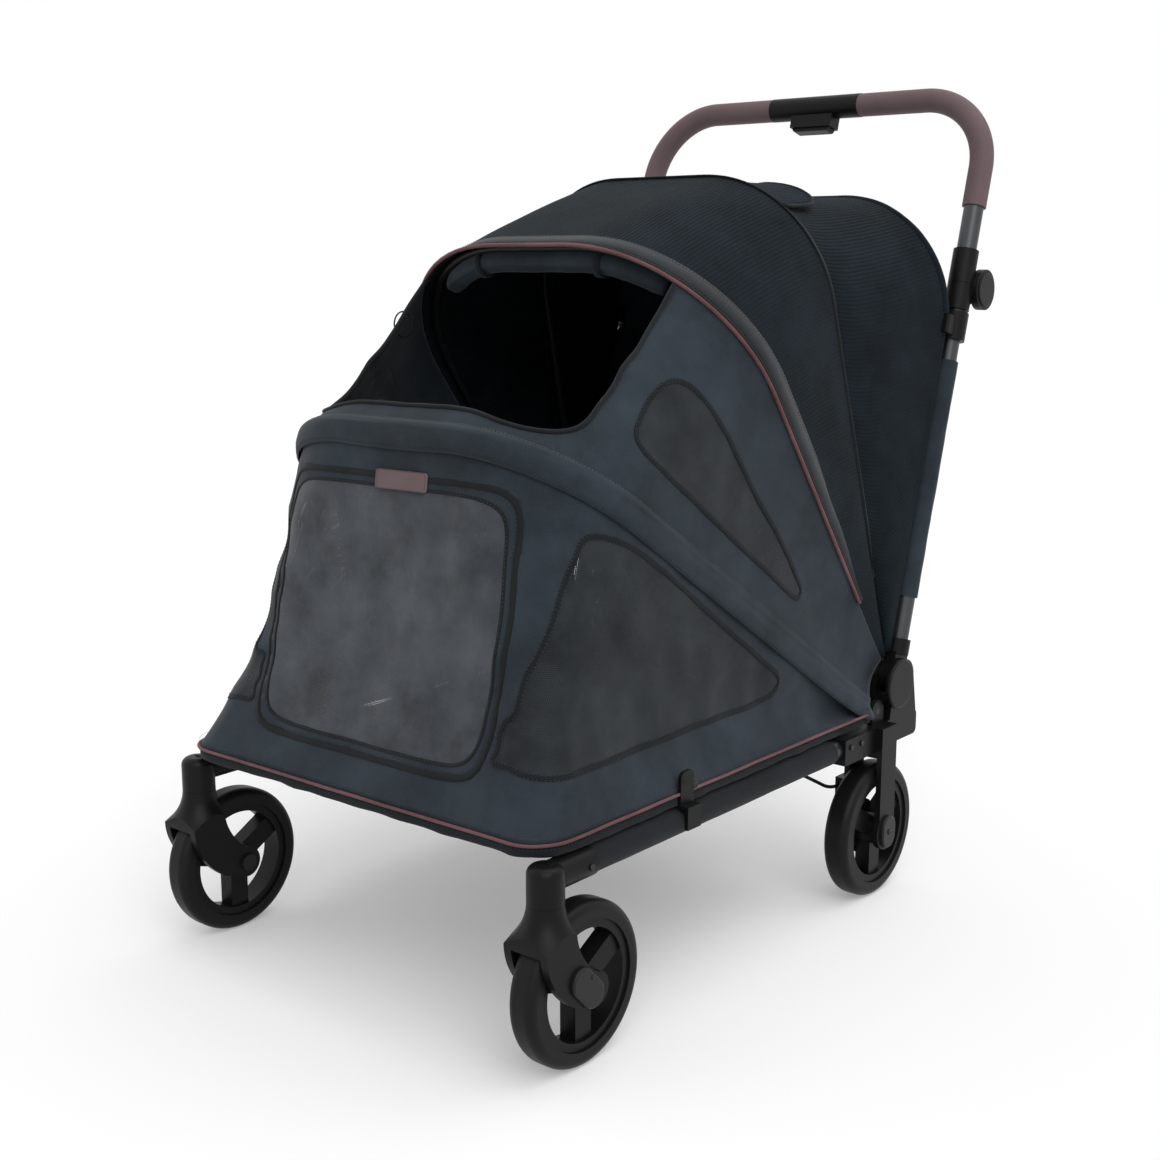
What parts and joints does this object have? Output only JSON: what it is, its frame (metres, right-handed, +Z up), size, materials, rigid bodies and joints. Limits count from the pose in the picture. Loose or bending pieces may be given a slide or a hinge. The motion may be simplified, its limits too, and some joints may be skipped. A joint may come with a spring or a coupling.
{
  "type": "pet stroller",
  "caption": "Folding pet stroller with a soft cabin, mesh front door, open top mouth, hooped canopy, tilting push handle, swivel front casters and a rear foot brake.",
  "frame": {"origin": "on the floor, under the middle of the stroller's box", "axes": "+Z up, -Y towards the front casters, +X the left side as it is pushed"},
  "size_m": [0.665, 1.0484, 1.1196],
  "materials": {
    "tyre": "matte tread",
    "wheel_plastic": "moulded, fine grain",
    "black_plastic": "moulded, fine grain",
    "steel": "plain",
    "gunmetal_tube": "dark anodised satin",
    "bow_rod": "satin",
    "deck": "black laminate",
    "cushion_cloth": "woven",
    "cable": "satin jacket",
    "leatherette": "fine grain, dusty brown",
    "charcoal_cloth": "woven charcoal",
    "mesh_cloth": "open knit mesh"
  },
  "bodies": {
    "base": {"front_corner_left": "black_plastic", "front_corner_right": "black_plastic", "rear_bracket_left": "black_plastic", "rear_bracket_right": "black_plastic", "side_rail_left": "gunmetal_tube", "side_rail_right": "gunmetal_tube", "front_cross_tube": "gunmetal_tube", "rear_cross_tube": "gunmetal_tube", "deck_board": "deck", "floor_cushion": "cushion_cloth", "cable_stops": "black_plastic", "brake_cables": "cable", "kingpins": "steel", "rear_axles": "steel", "hinge_pins": "steel", "hinge_covers": "black_plastic", "hoop_pins": "steel", "hem_skirt": "charcoal_cloth", "lower_shell": "charcoal_cloth", "side_clips": "black_plastic", "frame_screws": "steel"},
    "posts": {"post_left": "gunmetal_tube", "post_right": "gunmetal_tube", "post_knuckles": "black_plastic", "canopy_clips": "black_plastic", "handle_housings": "black_plastic", "joint_pins": "steel", "rear_bow": "bow_rod", "canopy_rear": "charcoal_cloth", "rear_panel": "charcoal_cloth"},
    "handle": {"handle_lugs": "black_plastic", "handle_bar": "gunmetal_tube", "grip_left": "leatherette", "grip_right": "leatherette", "handle_core": "black_plastic"},
    "trigger": {"release_trigger": "black_plastic"},
    "button_left": {"tilt_button_left": "black_plastic"},
    "button_right": {"tilt_button_right": "black_plastic"},
    "middle_bow": {"middle_bow": "bow_rod"},
    "canopy_bow": {"canopy_bow": "bow_rod", "canopy_roll": "charcoal_cloth", "canopy_main": "charcoal_cloth"},
    "front_hoop": {"front_hoop": "bow_rod", "upper_shell": "charcoal_cloth"},
    "door": {"front_door": "mesh_cloth"},
    "pedal": {"brake_pedal": "black_plastic"},
    "caster_left": {"caster_fork_left": "black_plastic", "front_axle_left": "steel"},
    "front_wheel_left": {"front_tyre_left": "tyre", "front_rim_left": "wheel_plastic"},
    "rear_wheel_left": {"rear_tyre_left": "tyre", "rear_rim_left": "wheel_plastic"},
    "brake_pin_left": {"brake_pin_left": "steel"},
    "caster_right": {"caster_fork_right": "black_plastic", "front_axle_right": "steel"},
    "front_wheel_right": {"front_tyre_right": "tyre", "front_rim_right": "wheel_plastic"},
    "rear_wheel_right": {"rear_tyre_right": "tyre", "rear_rim_right": "wheel_plastic"},
    "brake_pin_right": {"brake_pin_right": "steel"}
  },
  "joints": [
    {"name": "caster_swivel_left", "type": "hinge", "parent": "base", "child": "caster_left", "pos_m": [0.2965, -0.47872, 0.202], "axis": [0, 0, 1], "continuous": true},
    {"name": "front_wheel_spin_left", "type": "hinge", "parent": "caster_left", "child": "front_wheel_left", "pos_m": [0.2965, -0.42922, 0.095], "axis": [1, 0, 0], "continuous": true},
    {"name": "rear_wheel_spin_left", "type": "hinge", "parent": "base", "child": "rear_wheel_left", "pos_m": [0.2965, 0.21078, 0.095], "axis": [1, 0, 0], "continuous": true},
    {"name": "caster_swivel_right", "type": "hinge", "parent": "base", "child": "caster_right", "pos_m": [-0.2965, -0.47872, 0.202], "axis": [0, 0, 1], "continuous": true},
    {"name": "front_wheel_spin_right", "type": "hinge", "parent": "caster_right", "child": "front_wheel_right", "pos_m": [-0.2965, -0.42922, 0.095], "axis": [1, 0, 0], "continuous": true},
    {"name": "rear_wheel_spin_right", "type": "hinge", "parent": "base", "child": "rear_wheel_right", "pos_m": [-0.2965, 0.21078, 0.095], "axis": [1, 0, 0], "continuous": true},
    {"name": "brake_press", "type": "hinge", "parent": "base", "child": "pedal", "pos_m": [0, 0.21078, 0.225], "axis": [-1, 0, 0], "range_deg": [0, 22]},
    {"name": "brake_pin_slide_left", "type": "slide", "parent": "base", "child": "brake_pin_left", "axis": [1, 0, 0], "range_m": [0, 0.0055]},
    {"name": "brake_pin_slide_right", "type": "slide", "parent": "base", "child": "brake_pin_right", "axis": [-1, 0, 0], "range_m": [0, 0.0055]},
    {"name": "frame_fold", "type": "hinge", "parent": "base", "child": "posts", "pos_m": [0, 0.27628, 0.2985], "axis": [1, 0, 0], "range_deg": [0, 88], "deforming": ["lower_shell", "upper_shell", "canopy_main", "canopy_rear", "front_door"]},
    {"name": "middle_bow_fold", "type": "hinge", "parent": "posts", "child": "middle_bow", "pos_m": [0, 0.27628, 0.2985], "axis": [1, 0, 0], "range_deg": [-17.5, 0]},
    {"name": "canopy_bow_fold", "type": "hinge", "parent": "middle_bow", "child": "canopy_bow", "pos_m": [0, 0.27628, 0.2985], "axis": [1, 0, 0], "range_deg": [-18.9, 0]},
    {"name": "front_hoop_fold", "type": "hinge", "parent": "base", "child": "front_hoop", "pos_m": [0, 0.21578, 0.262], "axis": [1, 0, 0], "range_deg": [0, 31.1]},
    {"name": "handle_tilt", "type": "hinge", "parent": "posts", "child": "handle", "pos_m": [0, 0.45838, 0.83197], "axis": [-1, 0, 0], "range_deg": [0, 170]},
    {"name": "trigger_pull", "type": "slide", "parent": "handle", "child": "trigger", "axis": [0, 0.2756, 0.9613], "range_m": [0, 0.007], "stiffness_N_per_m": 600, "springref_m": -0.004},
    {"name": "tilt_button_press_left", "type": "slide", "parent": "posts", "child": "button_left", "axis": [-1, 0, 0], "range_m": [0, 0.004], "stiffness_N_per_m": 800, "springref_m": -0.003},
    {"name": "tilt_button_press_right", "type": "slide", "parent": "posts", "child": "button_right", "axis": [1, 0, 0], "range_m": [0, 0.004], "stiffness_N_per_m": 800, "springref_m": -0.003},
    {"name": "door_swing", "type": "hinge", "parent": "base", "child": "door", "pos_m": [0, -0.47249, 0.3066], "axis": [1, 0, 0], "range_deg": [0, 150]}
  ],
  "couplings": [
    {"joint": "middle_bow_fold", "follows": "frame_fold", "ratio": -0.19773},
    {"joint": "canopy_bow_fold", "follows": "frame_fold", "ratio": -0.21364},
    {"joint": "front_hoop_fold", "follows": "frame_fold", "ratio": 0.35227},
    {"joint": "brake_pin_slide_left", "follows": "brake_press", "m_per_rad": 0.01431},
    {"joint": "brake_pin_slide_right", "follows": "brake_press", "m_per_rad": 0.01431}
  ]
}
